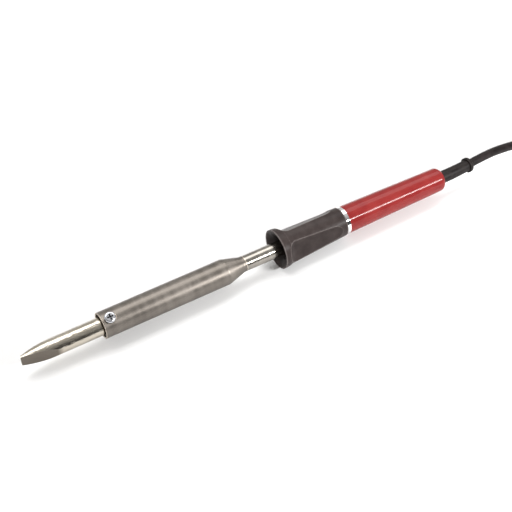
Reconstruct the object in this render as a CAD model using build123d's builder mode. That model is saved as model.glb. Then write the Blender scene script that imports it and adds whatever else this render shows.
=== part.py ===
from build123d import *

import os
from math import acos, atan, cos, degrees, pi, radians, sin, sqrt, tan

os.makedirs("parts", exist_ok=True)

# ---------------------------------------------------------------- driving sizes, in millimetres
# Places along the iron are stations, counted from the blade's edge towards the cord.

# Tip
tip_diameter = 13.0
tip_reach = 57.6  # blade edge to the barrel's mouth
tip_insertion = 66.0  # barrel's mouth to the tip's inner end
tip_taper_length = 21.0
tip_bevel_length = 28.0
tip_edge_height = 8.6
tip_edge_thickness = 1.2
tip_end_chamfer = 0.8
tip_offset = 0.6  # the screw presses the tip this far off the barrel's centre

# Barrel and neck
barrel_diameter = 19.0
barrel_wall = 1.0
barrel_length = 96.1
barrel_cone_length = 13.8
barrel_collar_length = 2.0
barrel_shoulder_round = 3.0
barrel_rim_chamfer = 0.2
neck_diameter = 11.4
neck_wall = 0.8
neck_visible_length = 26.8
neck_spigot_length = 5.0

# Tip screw, along its own axis
screw_setback = 5.8  # barrel's mouth to the screw's axis
screw_lean = 24.0  # degrees from upright, towards the front side
screw_diameter = 4.0
screw_head_diameter = 7.8
screw_head_height = 2.7
screw_recess_width = 1.1
screw_recess_span = 4.4
screw_recess_depth = 1.5
screw_recess_taper = 14.0  # degrees
screw_seat_depth = 0.3
screw_seat_diameter = 9.0
washer_diameter = 7.2
washer_thickness = 0.9
washer_split = 0.7
washer_split_angle = 150.0

# Bush, heater and spacer
bush_recess = 1.6
bush_length = 8.4
tip_running_clearance = 0.05
socket_wall = 0.3
mica_thickness = 0.2
element_thickness = 0.2
element_slot = 1.6
element_strips = 12
element_margin = 3.0  # bare ends of the mica, and width of the ribbon's turns
spacer_length = 12.0
spacer_bore_diameter = 6.0
lead_diameter = 2.0
lead_circle_radius = 7.0
lead_spacing = 5.4
lead_bend_radius = 14.0

# Grip
flange_diameter = 30.0
flange_rim_length = 1.5
flange_flare_length = 6.5
grip_length = 55.0
grip_front_diameter = 27.9
grip_rear_diameter = 21.8
grip_bore_shoulder = 17.7  # grip's front to the shoulder that the collar seats on
grip_flat_front = 10.5  # flat's distance from the axis behind the flange
grip_flat_rear = 10.1
grip_flat_count = 3
grip_flat_turn = 77.0  # degrees, first flat's centre from upright, towards the front side
grip_scoop_radius = 7.0
grip_scoop_start = 3.7
grip_runout_margin = 4.5
grip_runout_radius = 24.0
cup_diameter = 27.8
cup_depth = 7.0
cup_floor_diameter = 14.0
spigot_diameter = 17.2
spigot_wall = 1.2
spigot_length = 15.0

# Ring and handle
ring_length = 3.0
ring_diameter = 21.5
handle_length = 88.5
handle_front_diameter = 21.2
handle_rear_diameter = 18.2
handle_rear_round = 4.0
handle_wall = 2.3
handle_end_wall = 3.0

# Pieces inside the grip and the handle
collar_length = 3.0
tag_thickness = 0.7
tag_tail_width = 3.0
tag_crimp_length = 6.0
tag_crimp_diameter = 2.7
nut_length = 6.0
nut_slot_width = 4.0
neck_tail = 4.2  # neck tube past the nut
block_gap = 4.0  # spigot's end to the terminal block
block_length = 18.0
block_width = 12.0
block_height = 8.4
block_corner_round = 1.0
sleeve_wall = 0.8
terminal_screw_diameter = 2.4
terminal_screw_head_diameter = 3.2
terminal_screw_head_height = 1.2
terminal_screw_inset = 4.5
lead_grip_length = 7.0
core_diameter = 2.0
core_circle_radius = 1.75
core_lean = radians(60)  # two of the three cores lie this far from upright
core_bend_radius = 9.0
clamp_length = 9.0
clamp_diameter = 13.4
clamp_gap = 0.6
clamp_screw_diameter = 1.8
clamp_screw_length = 4.8
clamp_screw_head_diameter = 2.6
clamp_screw_head_height = 1.0
clamp_screw_seat = 1.6
clamp_screw_offset = 4.6
sheath_tail = 10.0  # sheath past the clamp

# Strain relief and cord
relief_flange_diameter = 13.0
relief_flange_length = 2.5
relief_base_diameter = 10.0
relief_end_diameter = 9.2
relief_straight = 3.2  # straight stretch outside the handle
relief_curved = 25.8
relief_bend = 6.0  # degrees
relief_bead_diameter = 11.8
relief_bead_length = 3.0
relief_bead_round = 1.2
cord_diameter = 6.8
cord_first_run = 18.0
bend_share = 0.45  # share of a run that the bend at each end may take

# Hank, the folded length of the cord
hank_turns = 4
hank_straight = 85.0  # straight side of each turn
hank_fold_radius = 20.5  # middle of the cord round each end
hank_lead_in = 26.0
hank_lead_out = 17.0
hank_inset = 0.5  # the plain solid's faces lie this far inside the turns' skin
hank_round = 2.0
tie_thickness = 1.0
tie_width = 16.0
tie_slack = 0.4
tie_corner_round = 2.8

# Plug
plug_diameter = 37.5
plug_length = 44.0
plug_half_height = 17.0  # axis to each flat
plug_face_length = 12.0
plug_rear_diameter = 20.0
plug_face_chamfer = 1.2
plug_relief_length = 22.0
plug_relief_base_diameter = 12.0
plug_relief_end_diameter = 9.0
plug_slot_start = 4.0  # ring grooves that let the plug's relief bend
plug_slot_floor = 0.5  # groove's floor above the cord
plug_slot_width = 1.5
plug_slot_pitch = 4.0
plug_slot_count = 4
pin_diameter = 4.8
pin_length = 19.0
pin_spacing = 19.0
pin_end_round = 1.0
pin_root_diameter = 3.8
pin_root_length = 9.0
clip_width = 4.2
clip_thickness = 0.7
clip_length = 15.0
clip_rise = 2.0
clip_ramp = 3.75
clip_groove_depth = 3.0
clip_groove_width = 5.2
clip_groove_length = 19.0

# Clearances
slip_clearance = 0.05  # pushed or slid together by hand
wire_clearance = 0.1
screw_clearance = 0.05
layer_gap = 0.05  # between the heater's wrapped layers
cap_clearance = 0.2

# ---------------------------------------------------------------- dependent sizes

tip_radius = tip_diameter / 2
barrel_radius = barrel_diameter / 2
barrel_bore_radius = barrel_radius - barrel_wall
neck_radius = neck_diameter / 2
neck_bore_radius = neck_radius - neck_wall
cord_radius = cord_diameter / 2
lead_radius = lead_diameter / 2
core_radius = core_diameter / 2

barrel_front = tip_reach
barrel_cone_start = barrel_front + barrel_length
barrel_cone_end = barrel_cone_start + barrel_cone_length
barrel_rear = barrel_cone_end + barrel_collar_length
grip_front = barrel_rear + neck_visible_length
grip_rear = grip_front + grip_length
handle_front = grip_rear + ring_length
handle_rear = handle_front + handle_length
iron_length = handle_rear

axis_height = flange_diameter / 2
front_x = -iron_length / 2

tool_plane = Plane(origin=(front_x, 0, axis_height), x_dir=(1, 0, 0), z_dir=(0, -1, 0))
tool_axis = Axis((front_x, 0, axis_height), (1, 0, 0))
flat_plane = Plane(origin=(front_x, 0, axis_height), x_dir=(1, 0, 0), z_dir=(0, 0, 1))

screw_out = Vector(0, -sin(radians(screw_lean)), cos(radians(screw_lean)))
screw_station = barrel_front + screw_setback
screw_seat_height = barrel_radius - screw_seat_depth
screw_head_base = screw_seat_height + washer_thickness
socket_bore_radius = tip_radius + tip_offset + tip_running_clearance
screw_point_height = tip_radius - tip_offset + tip_running_clearance


def cross_plane(station):
    """Plane square to the iron at a station, with local x across and local y up."""
    return Plane(origin=(front_x + station, 0, axis_height), x_dir=(0, 1, 0), z_dir=(1, 0, 0))


def screw_plane(height):
    """Plane square to the tip screw, at a height from the barrel's centre."""
    centre = Vector(front_x + screw_station, 0, axis_height) + screw_out * height
    return Plane(origin=centre, x_dir=(1, 0, 0), z_dir=screw_out)


def turned(*outline):
    """Turns a closed outline of (station, radius) points about the iron's axis, in the open part."""
    with BuildSketch(tool_plane) as section:
        with BuildLine():
            Polyline(*outline, close=True)
        make_face()
    revolve(section.sketch, axis=tool_axis)


def ring(front, rear, inner_radius, outer_radius):
    """Turns a plain ring about the iron's axis, in the open part."""
    turned((front, inner_radius), (front, outer_radius), (rear, outer_radius), (rear, inner_radius))


def wire(points, radius, bend_radius):
    """Sweeps a round wire along points given as (station, across, up), in the open part."""
    with BuildLine() as route:
        FilletPolyline(
            *[(front_x + station, across, axis_height + up) for station, across, up in points],
            radius=bend_radius,
        )
    with BuildSketch(Plane(origin=route.line @ 0, z_dir=route.line % 0)) as section:
        Circle(radius)
    sweep(section.sketch, path=route.line)


# ---------------------------------------------------------------- soldering tip
# A plated copper rod. Its nose is turned to a long round taper, and two flat bevels make the chisel.

tip_length = tip_reach + tip_insertion
tip_centre = Vector(front_x, 0, axis_height) - screw_out * tip_offset
tip_side_plane = Plane(origin=tip_centre, x_dir=(1, 0, 0), z_dir=(0, -1, 0))
tip_top_plane = Plane(origin=tip_centre, x_dir=(1, 0, 0), z_dir=(0, 0, 1))
tip_edge_radius = tip_edge_height / 2
bevel_slope = (tip_radius - tip_edge_thickness / 2) / tip_bevel_length
bevel_reach = tip_bevel_length + tip_radius

with BuildPart() as soldering_tip:
    with BuildSketch(tip_side_plane):
        with BuildLine():
            TangentArc(
                (tip_taper_length, tip_radius),
                (0, tip_edge_radius),
                tangent=(-1, 0),
            )
            Polyline(
                (0, tip_edge_radius),
                (0, 0),
                (tip_length, 0),
                (tip_length, tip_radius - tip_end_chamfer),
                (tip_length - tip_end_chamfer, tip_radius),
                (tip_taper_length, tip_radius),
            )
        make_face()
    revolve(axis=Axis(tip_centre, (1, 0, 0)))
    with BuildSketch(tip_top_plane):
        with BuildLine():
            Polyline(
                (0, tip_edge_thickness / 2),
                (bevel_reach, tip_edge_thickness / 2 + bevel_slope * bevel_reach),
                (0, tip_edge_thickness / 2 + bevel_slope * bevel_reach),
                close=True,
            )
        make_face()
        mirror(about=Plane.XZ)
    extrude(amount=tip_diameter, both=True, mode=Mode.SUBTRACT)
soldering_tip.part.label = "soldering_tip"
export_step(soldering_tip.part, "parts/soldering_tip.step")

# ---------------------------------------------------------------- barrel
# Steel tube, swaged down to a cone and a short collar that holds the neck tube.

cone_angle = atan((barrel_radius - neck_radius) / barrel_cone_length)
wall_shift = barrel_wall * tan(cone_angle / 2)

with BuildPart() as barrel:
    with BuildSketch(tool_plane):
        with BuildLine():
            Polyline(
                (barrel_front, barrel_radius),
                (barrel_cone_start, barrel_radius),
                (barrel_cone_end, neck_radius),
                (barrel_rear, neck_radius),
                (barrel_rear, neck_bore_radius),
                (barrel_cone_end - wall_shift, neck_bore_radius),
                (barrel_cone_start - wall_shift, barrel_bore_radius),
                (barrel_front, barrel_bore_radius),
                close=True,
            )
        make_face()
        cone_corners = vertices().filter_by_position(
            Axis.X, barrel_cone_start - barrel_wall, barrel_cone_end + barrel_wall
        )
        fillet(cone_corners, radius=barrel_shoulder_round)
        rim_corners = vertices().group_by(Axis.X)[0]
        chamfer(rim_corners, length=barrel_rim_chamfer)
    revolve(axis=tool_axis)
    with BuildSketch(screw_plane(screw_seat_height)):
        Circle(screw_seat_diameter / 2)
    extrude(amount=screw_head_height, mode=Mode.SUBTRACT)
    with BuildSketch(screw_plane(tip_radius)):
        Circle(screw_diameter / 2 + screw_clearance)
    extrude(amount=barrel_radius, mode=Mode.SUBTRACT)
barrel.part.label = "barrel"
export_step(barrel.part, "parts/barrel.step")

# ---------------------------------------------------------------- front bush
# Steel bush pressed into the barrel's mouth. The tip screw threads into it.

bush_front = barrel_front + bush_recess
bush_rear = bush_front + bush_length

with BuildPart() as front_bush:
    ring(bush_front, bush_rear, socket_bore_radius, barrel_bore_radius)
    with BuildSketch(screw_plane(tip_radius)):
        Circle(screw_diameter / 2 + screw_clearance)
    extrude(amount=barrel_radius, mode=Mode.SUBTRACT)
front_bush.part.label = "front_bush"
export_step(front_bush.part, "parts/front_bush.step")

# ---------------------------------------------------------------- lock washer and tip screw
# Split spring washer and cross-recessed pan-head screw. The screw's point stops just clear of the tip.

with BuildPart() as lock_washer:
    with BuildSketch(screw_plane(screw_seat_height)):
        Circle(washer_diameter / 2)
        Circle(screw_diameter / 2 + wire_clearance, mode=Mode.SUBTRACT)
        with Locations(Rotation(0, 0, washer_split_angle)):
            with Locations((washer_diameter / 2, 0)):
                Rectangle(washer_diameter, washer_split, mode=Mode.SUBTRACT)
    extrude(amount=washer_thickness)
lock_washer.part.label = "lock_washer"
export_step(lock_washer.part, "parts/lock_washer.step")

head_radius = screw_head_diameter / 2
screw_side_plane = Plane(
    origin=screw_plane(0).origin, x_dir=(1, 0, 0), z_dir=Vector(1, 0, 0).cross(screw_out)
)
head_top = screw_head_base + screw_head_height
head_crown = screw_head_base + screw_head_height / 2

with BuildPart() as tip_screw:
    with BuildSketch(screw_side_plane):
        with BuildLine():
            Polyline(
                (0, head_top),
                (0, screw_point_height),
                (screw_diameter / 2 - screw_recess_width / 2, screw_point_height),
                (screw_diameter / 2, screw_point_height + screw_recess_width / 2),
                (screw_diameter / 2, screw_head_base),
                (head_radius, screw_head_base),
                (head_radius, head_crown),
            )
            JernArc(
                start=(head_radius, head_crown),
                tangent=(0, 1),
                radius=screw_head_height / 2,
                arc_size=90,
            )
            Line((head_radius - screw_head_height / 2, head_top), (0, head_top))
        make_face()
    revolve(axis=Axis(screw_plane(0).origin, screw_out))
    with BuildSketch(screw_plane(head_top)):
        Rectangle(screw_recess_span, screw_recess_width)
        Rectangle(screw_recess_width, screw_recess_span)
    extrude(amount=-screw_recess_depth, taper=screw_recess_taper, mode=Mode.SUBTRACT)
tip_screw.part.label = "tip_screw"
export_step(tip_screw.part, "parts/tip_screw.step")

# ---------------------------------------------------------------- heater
# Steel socket tube, wrapped in mica, then the ribbon element, then mica again.

socket_radius = socket_bore_radius + socket_wall
inner_mica_radius = socket_radius + mica_thickness
element_bore_radius = inner_mica_radius + layer_gap
element_radius = element_bore_radius + element_thickness
outer_mica_bore_radius = element_radius + layer_gap
outer_mica_radius = outer_mica_bore_radius + mica_thickness
heater_rear = barrel_front + tip_insertion + element_margin

with BuildPart() as socket_tube:
    ring(bush_rear, heater_rear, socket_bore_radius, socket_radius)
socket_tube.part.label = "socket_tube"
export_step(socket_tube.part, "parts/socket_tube.step")

with BuildPart() as inner_mica:
    ring(bush_rear, heater_rear, socket_radius, inner_mica_radius)
inner_mica.part.label = "inner_mica"
export_step(inner_mica.part, "parts/inner_mica.step")

with BuildPart() as outer_mica:
    ring(bush_rear, heater_rear, outer_mica_bore_radius, outer_mica_radius)
outer_mica.part.label = "outer_mica"
export_step(outer_mica.part, "parts/outer_mica.step")

# The ribbon runs to and fro along the iron. Its slots are open at the front and the rear in turn, and one slot
# runs right through on top, between its two ends.

element_front = bush_rear + element_margin
slot_step = 360 / element_strips

with BuildPart() as heater_winding:
    ring(element_front, heater_rear, element_bore_radius, element_radius)
    for number in range(element_strips):
        open_front = number % 2 == 0
        open_rear = number % 2 == 1 or number == 0
        slot_front = element_front + (0 if open_front else element_margin)
        slot_rear = heater_rear - (0 if open_rear else element_margin)
        with BuildSketch(cross_plane(slot_front)):
            with Locations(Rotation(0, 0, 90 + number * slot_step)):
                with Locations((element_radius, 0)):
                    Rectangle(element_radius, element_slot)
        extrude(amount=slot_rear - slot_front, mode=Mode.SUBTRACT)
heater_winding.part.label = "heater_winding"
export_step(heater_winding.part, "parts/heater_winding.step")

# ---------------------------------------------------------------- ceramic spacer and heater leads
# The spacer closes the heater's rear end. Two sleeved leads leave the element through it.

spacer_rear = heater_rear + spacer_length
spacer_radius = barrel_bore_radius - slip_clearance
lead_angle = slot_step / 2

with BuildPart() as rear_spacer:
    with BuildSketch(cross_plane(heater_rear)):
        Circle(spacer_radius)
        Circle(spacer_bore_diameter / 2, mode=Mode.SUBTRACT)
        with PolarLocations(lead_circle_radius, 2, start_angle=90 - lead_angle, angular_range=4 * lead_angle):
            Circle(lead_radius + wire_clearance, mode=Mode.SUBTRACT)
    extrude(amount=spacer_length)
rear_spacer.part.label = "rear_spacer"
export_step(rear_spacer.part, "parts/rear_spacer.step")

spigot_rear = grip_rear + spigot_length
block_front = spigot_rear + block_gap
block_rear = block_front + block_length
lead_top = lead_circle_radius * cos(radians(lead_angle))
lead_side = lead_circle_radius * sin(radians(lead_angle))

with BuildPart() as heater_leads:
    for side in (-1, 1):
        wire(
            [
                (heater_rear, side * lead_side, lead_top),
                (spacer_rear + lead_diameter, side * lead_side, lead_top),
                (barrel_rear - neck_spigot_length, side * lead_spacing / 2, 0),
                (block_front + lead_grip_length, side * lead_spacing / 2, 0),
            ],
            lead_radius,
            lead_bend_radius,
        )
heater_leads.part.label = "heater_leads"
export_step(heater_leads.part, "parts/heater_leads.step")

# ---------------------------------------------------------------- neck tube
# Polished steel tube. Its front end is swaged to a spigot inside the barrel's collar.

collar_front = grip_front + grip_bore_shoulder
tag_front = collar_front + collar_length
nut_front = tag_front + tag_thickness
nut_rear = nut_front + nut_length
neck_rear = nut_rear + neck_tail
neck_spigot_front = barrel_rear - neck_spigot_length

with BuildPart() as neck_tube:
    turned(
        (neck_spigot_front, neck_bore_radius),
        (barrel_rear, neck_bore_radius),
        (barrel_rear, neck_radius),
        (neck_rear, neck_radius),
        (neck_rear, neck_bore_radius),
        (barrel_rear + neck_wall, neck_bore_radius),
        (barrel_rear - neck_wall, neck_bore_radius - neck_wall),
        (neck_spigot_front, neck_bore_radius - neck_wall),
    )
neck_tube.part.label = "neck_tube"
export_step(neck_tube.part, "parts/neck_tube.step")

# ---------------------------------------------------------------- neck collar, earth tag and retaining nut
# The collar is brazed on the neck tube and seats in the grip. The nut holds it and the tag there.

spigot_radius = spigot_diameter / 2
grip_bore_radius = spigot_radius - spigot_wall
stack_radius = grip_bore_radius - slip_clearance
tag_tail_outer = sqrt(stack_radius**2 - (tag_tail_width / 2) ** 2)
tag_tail_inner = tag_tail_outer - tag_thickness
nut_slot_floor = tag_tail_inner - wire_clearance
crimp_depth = stack_radius - tag_crimp_diameter / 2
crimp_front = neck_rear + tag_thickness
crimp_rear = crimp_front + tag_crimp_length

with BuildPart() as neck_collar:
    ring(collar_front, tag_front, neck_radius, stack_radius)
neck_collar.part.label = "neck_collar"
export_step(neck_collar.part, "parts/neck_collar.step")

with BuildPart() as earth_tag:
    ring(tag_front, nut_front, neck_radius + slip_clearance, stack_radius)
    with BuildSketch(cross_plane(tag_front)):
        with Locations((0, -(tag_tail_inner + tag_tail_outer) / 2)):
            Rectangle(tag_tail_width, tag_thickness)
    extrude(amount=crimp_rear - tag_front)
    with BuildSketch(cross_plane(crimp_front)):
        with Locations((0, -crimp_depth)):
            Circle(tag_crimp_diameter / 2)
    extrude(amount=tag_crimp_length)
    with BuildSketch(cross_plane(crimp_front)):
        with Locations((0, -crimp_depth)):
            Circle(core_radius + slip_clearance)
    extrude(amount=tag_crimp_length, mode=Mode.SUBTRACT)
earth_tag.part.label = "earth_tag"
export_step(earth_tag.part, "parts/earth_tag.step")

with BuildPart() as retaining_nut:
    ring(nut_front, nut_rear, neck_radius + slip_clearance, stack_radius)
    with BuildSketch(cross_plane(nut_front)):
        with Locations((0, stack_radius), (0, -stack_radius)):
            Rectangle(nut_slot_width, 2 * (stack_radius - nut_slot_floor))
    extrude(amount=nut_length, mode=Mode.SUBTRACT)
retaining_nut.part.label = "retaining_nut"
export_step(retaining_nut.part, "parts/retaining_nut.step")

# ---------------------------------------------------------------- grip
# Moulded grip: a cup-shaped guard, a coned body with three scooped flats, and a spigot for ring and handle.

flange_radius = flange_diameter / 2
flare_rear = grip_front + flange_flare_length
grip_front_radius = grip_front_diameter / 2
grip_rear_radius = grip_rear_diameter / 2
cup_radius = cup_diameter / 2
cup_floor_radius = cup_floor_diameter / 2
cup_rear = grip_front + cup_depth
scoop_start = grip_front + grip_scoop_start
scoop_bottom = scoop_start + grip_scoop_radius
runout_rear = grip_rear - grip_runout_margin
runout_angle = acos(1 - (flange_radius - grip_flat_rear) / grip_runout_radius)
cone_slope = (grip_front_radius - grip_rear_radius) / (grip_rear - flare_rear)
runout_surface_rise = grip_rear_radius + cone_slope * grip_runout_margin - grip_flat_rear
runout_length = sqrt(
    grip_runout_radius**2 - (grip_runout_radius - runout_surface_rise) ** 2
)
flat_rear = runout_rear - runout_length

with BuildPart() as grip:
    with BuildSketch(tool_plane):
        with BuildLine():
            Line((grip_front, cup_radius), (grip_front, flange_radius))
            Line((grip_front, flange_radius), (grip_front + flange_rim_length, flange_radius))
            RadiusArc(
                (grip_front + flange_rim_length, flange_radius),
                (flare_rear, grip_front_radius),
                flange_diameter / 2,
            )
            Polyline(
                (flare_rear, grip_front_radius),
                (grip_rear, grip_rear_radius),
                (grip_rear, spigot_radius),
                (spigot_rear, spigot_radius),
                (spigot_rear, grip_bore_radius),
                (collar_front, grip_bore_radius),
                (collar_front, neck_radius + slip_clearance),
                (cup_rear, neck_radius + slip_clearance),
                (cup_rear, cup_floor_radius),
            )
            RadiusArc((cup_rear, cup_floor_radius), (grip_front, cup_radius), cup_radius)
        make_face()
    revolve(axis=tool_axis)
    for number in range(grip_flat_count):
        flat_turn = grip_flat_turn + number * 360 / grip_flat_count
        flat_side = Plane(
            origin=tool_plane.origin,
            x_dir=(1, 0, 0),
            z_dir=(0, -cos(radians(flat_turn)), -sin(radians(flat_turn))),
        )
        with BuildSketch(flat_side):
            with BuildLine():
                Line(
                    (scoop_start, flange_radius + grip_scoop_radius),
                    (scoop_start, grip_flat_front + grip_scoop_radius),
                )
                JernArc(
                    start=(scoop_start, grip_flat_front + grip_scoop_radius),
                    tangent=(0, -1),
                    radius=grip_scoop_radius,
                    arc_size=90,
                )
                Line((scoop_bottom, grip_flat_front), (flat_rear, grip_flat_rear))
                runout = JernArc(
                    start=(flat_rear, grip_flat_rear),
                    tangent=(1, 0),
                    radius=grip_runout_radius,
                    arc_size=degrees(runout_angle),
                )
                Polyline(
                    runout @ 1,
                    ((runout @ 1).X, flange_radius + grip_scoop_radius),
                    (scoop_start, flange_radius + grip_scoop_radius),
                )
            make_face()
        extrude(amount=flange_radius, both=True, mode=Mode.SUBTRACT)
grip.part.label = "grip"
export_step(grip.part, "parts/grip.step")

# ---------------------------------------------------------------- bright ring
# Turned ring, trapped between the grip and the handle on the grip's spigot.

with BuildPart() as chrome_ring:
    ring(grip_rear, handle_front, spigot_radius + slip_clearance, ring_diameter / 2)
    chamfer(edges().filter_by(GeomType.CIRCLE).group_by(SortBy.RADIUS)[-1], length=barrel_rim_chamfer)
chrome_ring.part.label = "chrome_ring"
export_step(chrome_ring.part, "parts/chrome_ring.step")

# ---------------------------------------------------------------- handle
# Moulded tapered shell with a rounded rear end and a hole for the strain relief.

handle_front_radius = handle_front_diameter / 2
handle_rear_radius = handle_rear_diameter / 2
handle_slope = (handle_front_radius - handle_rear_radius) / handle_length
handle_end = handle_rear - handle_end_wall
handle_step = spigot_rear + cap_clearance
relief_radius = relief_base_diameter / 2

with BuildPart() as handle:
    with BuildSketch(tool_plane):
        with BuildLine():
            Polyline(
                (handle_front, spigot_radius + slip_clearance),
                (handle_front, handle_front_radius),
                (handle_rear, handle_rear_radius),
                (handle_rear, relief_radius + slip_clearance),
                (handle_end, relief_radius + slip_clearance),
                (handle_end, handle_rear_radius + handle_slope * handle_end_wall - handle_wall),
                (
                    handle_step,
                    handle_front_radius - handle_slope * (handle_step - handle_front) - handle_wall,
                ),
                (handle_step, spigot_radius + slip_clearance),
                close=True,
            )
        make_face()
        fillet(vertices().group_by(Axis.X)[-1].sort_by(Axis.Y)[-1], radius=handle_rear_round)
    revolve(axis=tool_axis)
handle.part.label = "handle"
export_step(handle.part, "parts/handle.step")

# ---------------------------------------------------------------- terminal block
# Ceramic block with two brass sleeves. Four screws hold the leads at the front and the cores at the rear.

sleeve_bore_radius = lead_radius + wire_clearance
sleeve_radius = sleeve_bore_radius + sleeve_wall
way_offset = lead_spacing / 2
screw_stations = (block_front + terminal_screw_inset, block_rear - terminal_screw_inset)
terminal_places = [(station, side * way_offset) for station in screw_stations for side in (-1, 1)]
block_top = block_height / 2

with BuildPart() as terminal_block:
    with BuildSketch(cross_plane(block_front)):
        RectangleRounded(block_width, block_height, block_corner_round)
        with GridLocations(lead_spacing, 0, 2, 1):
            Circle(sleeve_radius + slip_clearance, mode=Mode.SUBTRACT)
    extrude(amount=block_length)
    with BuildSketch(flat_plane):
        with Locations(*terminal_places):
            Circle(terminal_screw_head_diameter / 2 + wire_clearance)
    extrude(amount=block_height, mode=Mode.SUBTRACT)
terminal_block.part.label = "terminal_block"
export_step(terminal_block.part, "parts/terminal_block.step")

with BuildPart() as terminal_sleeves:
    with BuildSketch(cross_plane(block_front)):
        with GridLocations(lead_spacing, 0, 2, 1):
            Circle(sleeve_radius)
            Circle(sleeve_bore_radius, mode=Mode.SUBTRACT)
    extrude(amount=block_length)
    with BuildSketch(flat_plane):
        with Locations(*terminal_places):
            Circle(terminal_screw_diameter / 2 + screw_clearance)
    extrude(amount=block_height, mode=Mode.SUBTRACT)
terminal_sleeves.part.label = "terminal_sleeves"
export_step(terminal_sleeves.part, "parts/terminal_sleeves.step")

with BuildPart() as terminal_screws:
    with BuildSketch(flat_plane.offset(lead_radius)):
        with Locations(*terminal_places):
            Circle(terminal_screw_diameter / 2)
    extrude(amount=block_top - lead_radius)
    with BuildSketch(flat_plane.offset(block_top - terminal_screw_head_height)):
        with Locations(*terminal_places):
            Circle(terminal_screw_head_diameter / 2)
    extrude(amount=terminal_screw_head_height)
terminal_screws.part.label = "terminal_screws"
export_step(terminal_screws.part, "parts/terminal_screws.step")

# ---------------------------------------------------------------- cord inside the handle
# The sheathed end runs through the strain relief and the clamp. Two cores reach the block, the third the tag.

clamp_rear = handle_end - relief_flange_length
clamp_front = clamp_rear - clamp_length
sheath_front = clamp_front - sheath_tail
core_ease = core_diameter + core_radius
core_side = core_circle_radius * sin(core_lean)
core_up = core_circle_radius * cos(core_lean)

with BuildPart() as cord_cores:
    for side in (-1, 1):
        wire(
            [
                (sheath_front, side * core_side, core_up),
                (sheath_front - core_ease, side * core_side, core_up),
                (block_rear + core_ease, side * way_offset, 0),
                (block_rear - lead_grip_length, side * way_offset, 0),
            ],
            core_radius,
            core_bend_radius,
        )
cord_cores.part.label = "cord_cores"
export_step(cord_cores.part, "parts/cord_cores.step")

with BuildPart() as earth_core:
    wire(
        [
            (sheath_front, 0, -core_circle_radius),
            (sheath_front - core_ease, 0, -core_circle_radius),
            (block_rear + core_ease, 0, -crimp_depth),
            (crimp_front + slip_clearance, 0, -crimp_depth),
        ],
        core_radius,
        core_bend_radius,
    )
earth_core.part.label = "earth_core"
export_step(earth_core.part, "parts/earth_core.step")

# ---------------------------------------------------------------- cord clamp
# Two moulded halves and two screws grip the sheath just in front of the strain relief's flange.

clamp_screw_places = [((clamp_front + clamp_rear) / 2, side * clamp_screw_offset) for side in (-1, 1)]
clamp_radius = clamp_diameter / 2


def clamp_half(side):
    """Builds the upper (1) or lower (-1) half of the clamp, in the open part."""
    with BuildSketch(cross_plane(clamp_front)) as section:
        Circle(clamp_radius)
        Circle(cord_radius, mode=Mode.SUBTRACT)
        with Locations((0, -side * (clamp_radius - clamp_gap / 2))):
            Rectangle(clamp_diameter, clamp_diameter, mode=Mode.SUBTRACT)
    extrude(section.sketch, amount=clamp_length)
    with BuildSketch(flat_plane) as bores:
        with Locations(*clamp_screw_places):
            Circle(clamp_screw_diameter / 2 + screw_clearance)
    extrude(bores.sketch, amount=side * clamp_diameter, mode=Mode.SUBTRACT)


with BuildPart() as clamp_half_upper:
    clamp_half(1)
    with BuildSketch(flat_plane.offset(clamp_screw_seat)):
        with Locations(*clamp_screw_places):
            Circle(clamp_screw_head_diameter / 2 + screw_clearance)
    extrude(amount=clamp_diameter, mode=Mode.SUBTRACT)
clamp_half_upper.part.label = "clamp_half_upper"
export_step(clamp_half_upper.part, "parts/clamp_half_upper.step")

with BuildPart() as clamp_half_lower:
    clamp_half(-1)
clamp_half_lower.part.label = "clamp_half_lower"
export_step(clamp_half_lower.part, "parts/clamp_half_lower.step")

with BuildPart() as clamp_screws:
    with BuildSketch(flat_plane.offset(clamp_screw_seat)):
        with Locations(*clamp_screw_places):
            Circle(clamp_screw_head_diameter / 2)
    extrude(amount=clamp_screw_head_height)
    with BuildSketch(flat_plane.offset(clamp_screw_seat)):
        with Locations(*clamp_screw_places):
            Circle(clamp_screw_diameter / 2)
    extrude(amount=-clamp_screw_length)
clamp_screws.part.label = "clamp_screws"
export_step(clamp_screws.part, "parts/clamp_screws.step")

# ---------------------------------------------------------------- strain relief and the cord's sheathed end
# Tapered rubber sleeve with an inner flange and an end bead. It bends a little to the back with the cord.

relief_front = clamp_rear
relief_turn_station = handle_rear + relief_straight
relief_arc_radius = relief_curved / radians(relief_bend)
relief_bore_radius = cord_radius + wire_clearance


def relief_route(front):
    """Draws the line down the middle of the relief, from a station to the relief's end."""
    with BuildLine(flat_plane) as route:
        straight = Line((front, 0), (relief_turn_station, 0))
        JernArc(start=straight @ 1, tangent=straight % 1, radius=relief_arc_radius, arc_size=relief_bend)
    return route.line


relief_line = relief_route(relief_front)
relief_end_plane = Plane(origin=relief_line @ 1, z_dir=relief_line % 1)

with BuildPart() as strain_relief:
    with BuildSketch(cross_plane(relief_front)):
        Circle(relief_flange_diameter / 2)
    extrude(amount=relief_flange_length)
    with BuildSketch(cross_plane(relief_front)):
        Circle(relief_radius)
    with BuildSketch(relief_end_plane):
        Circle(relief_end_diameter / 2)
    sweep(path=relief_line, multisection=True)
    with BuildSketch(relief_end_plane):
        Circle(relief_bead_diameter / 2)
    extrude(amount=-relief_bead_length)
    bead_edges = edges().filter_by(GeomType.CIRCLE).group_by(Axis.X)[-1]
    fillet(bead_edges, radius=relief_bead_round)
    with BuildSketch(cross_plane(relief_front)):
        Circle(relief_bore_radius)
    sweep(path=relief_line, mode=Mode.SUBTRACT)
strain_relief.part.label = "strain_relief"
export_step(strain_relief.part, "parts/strain_relief.step")

sheath_line = relief_route(sheath_front)

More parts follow.
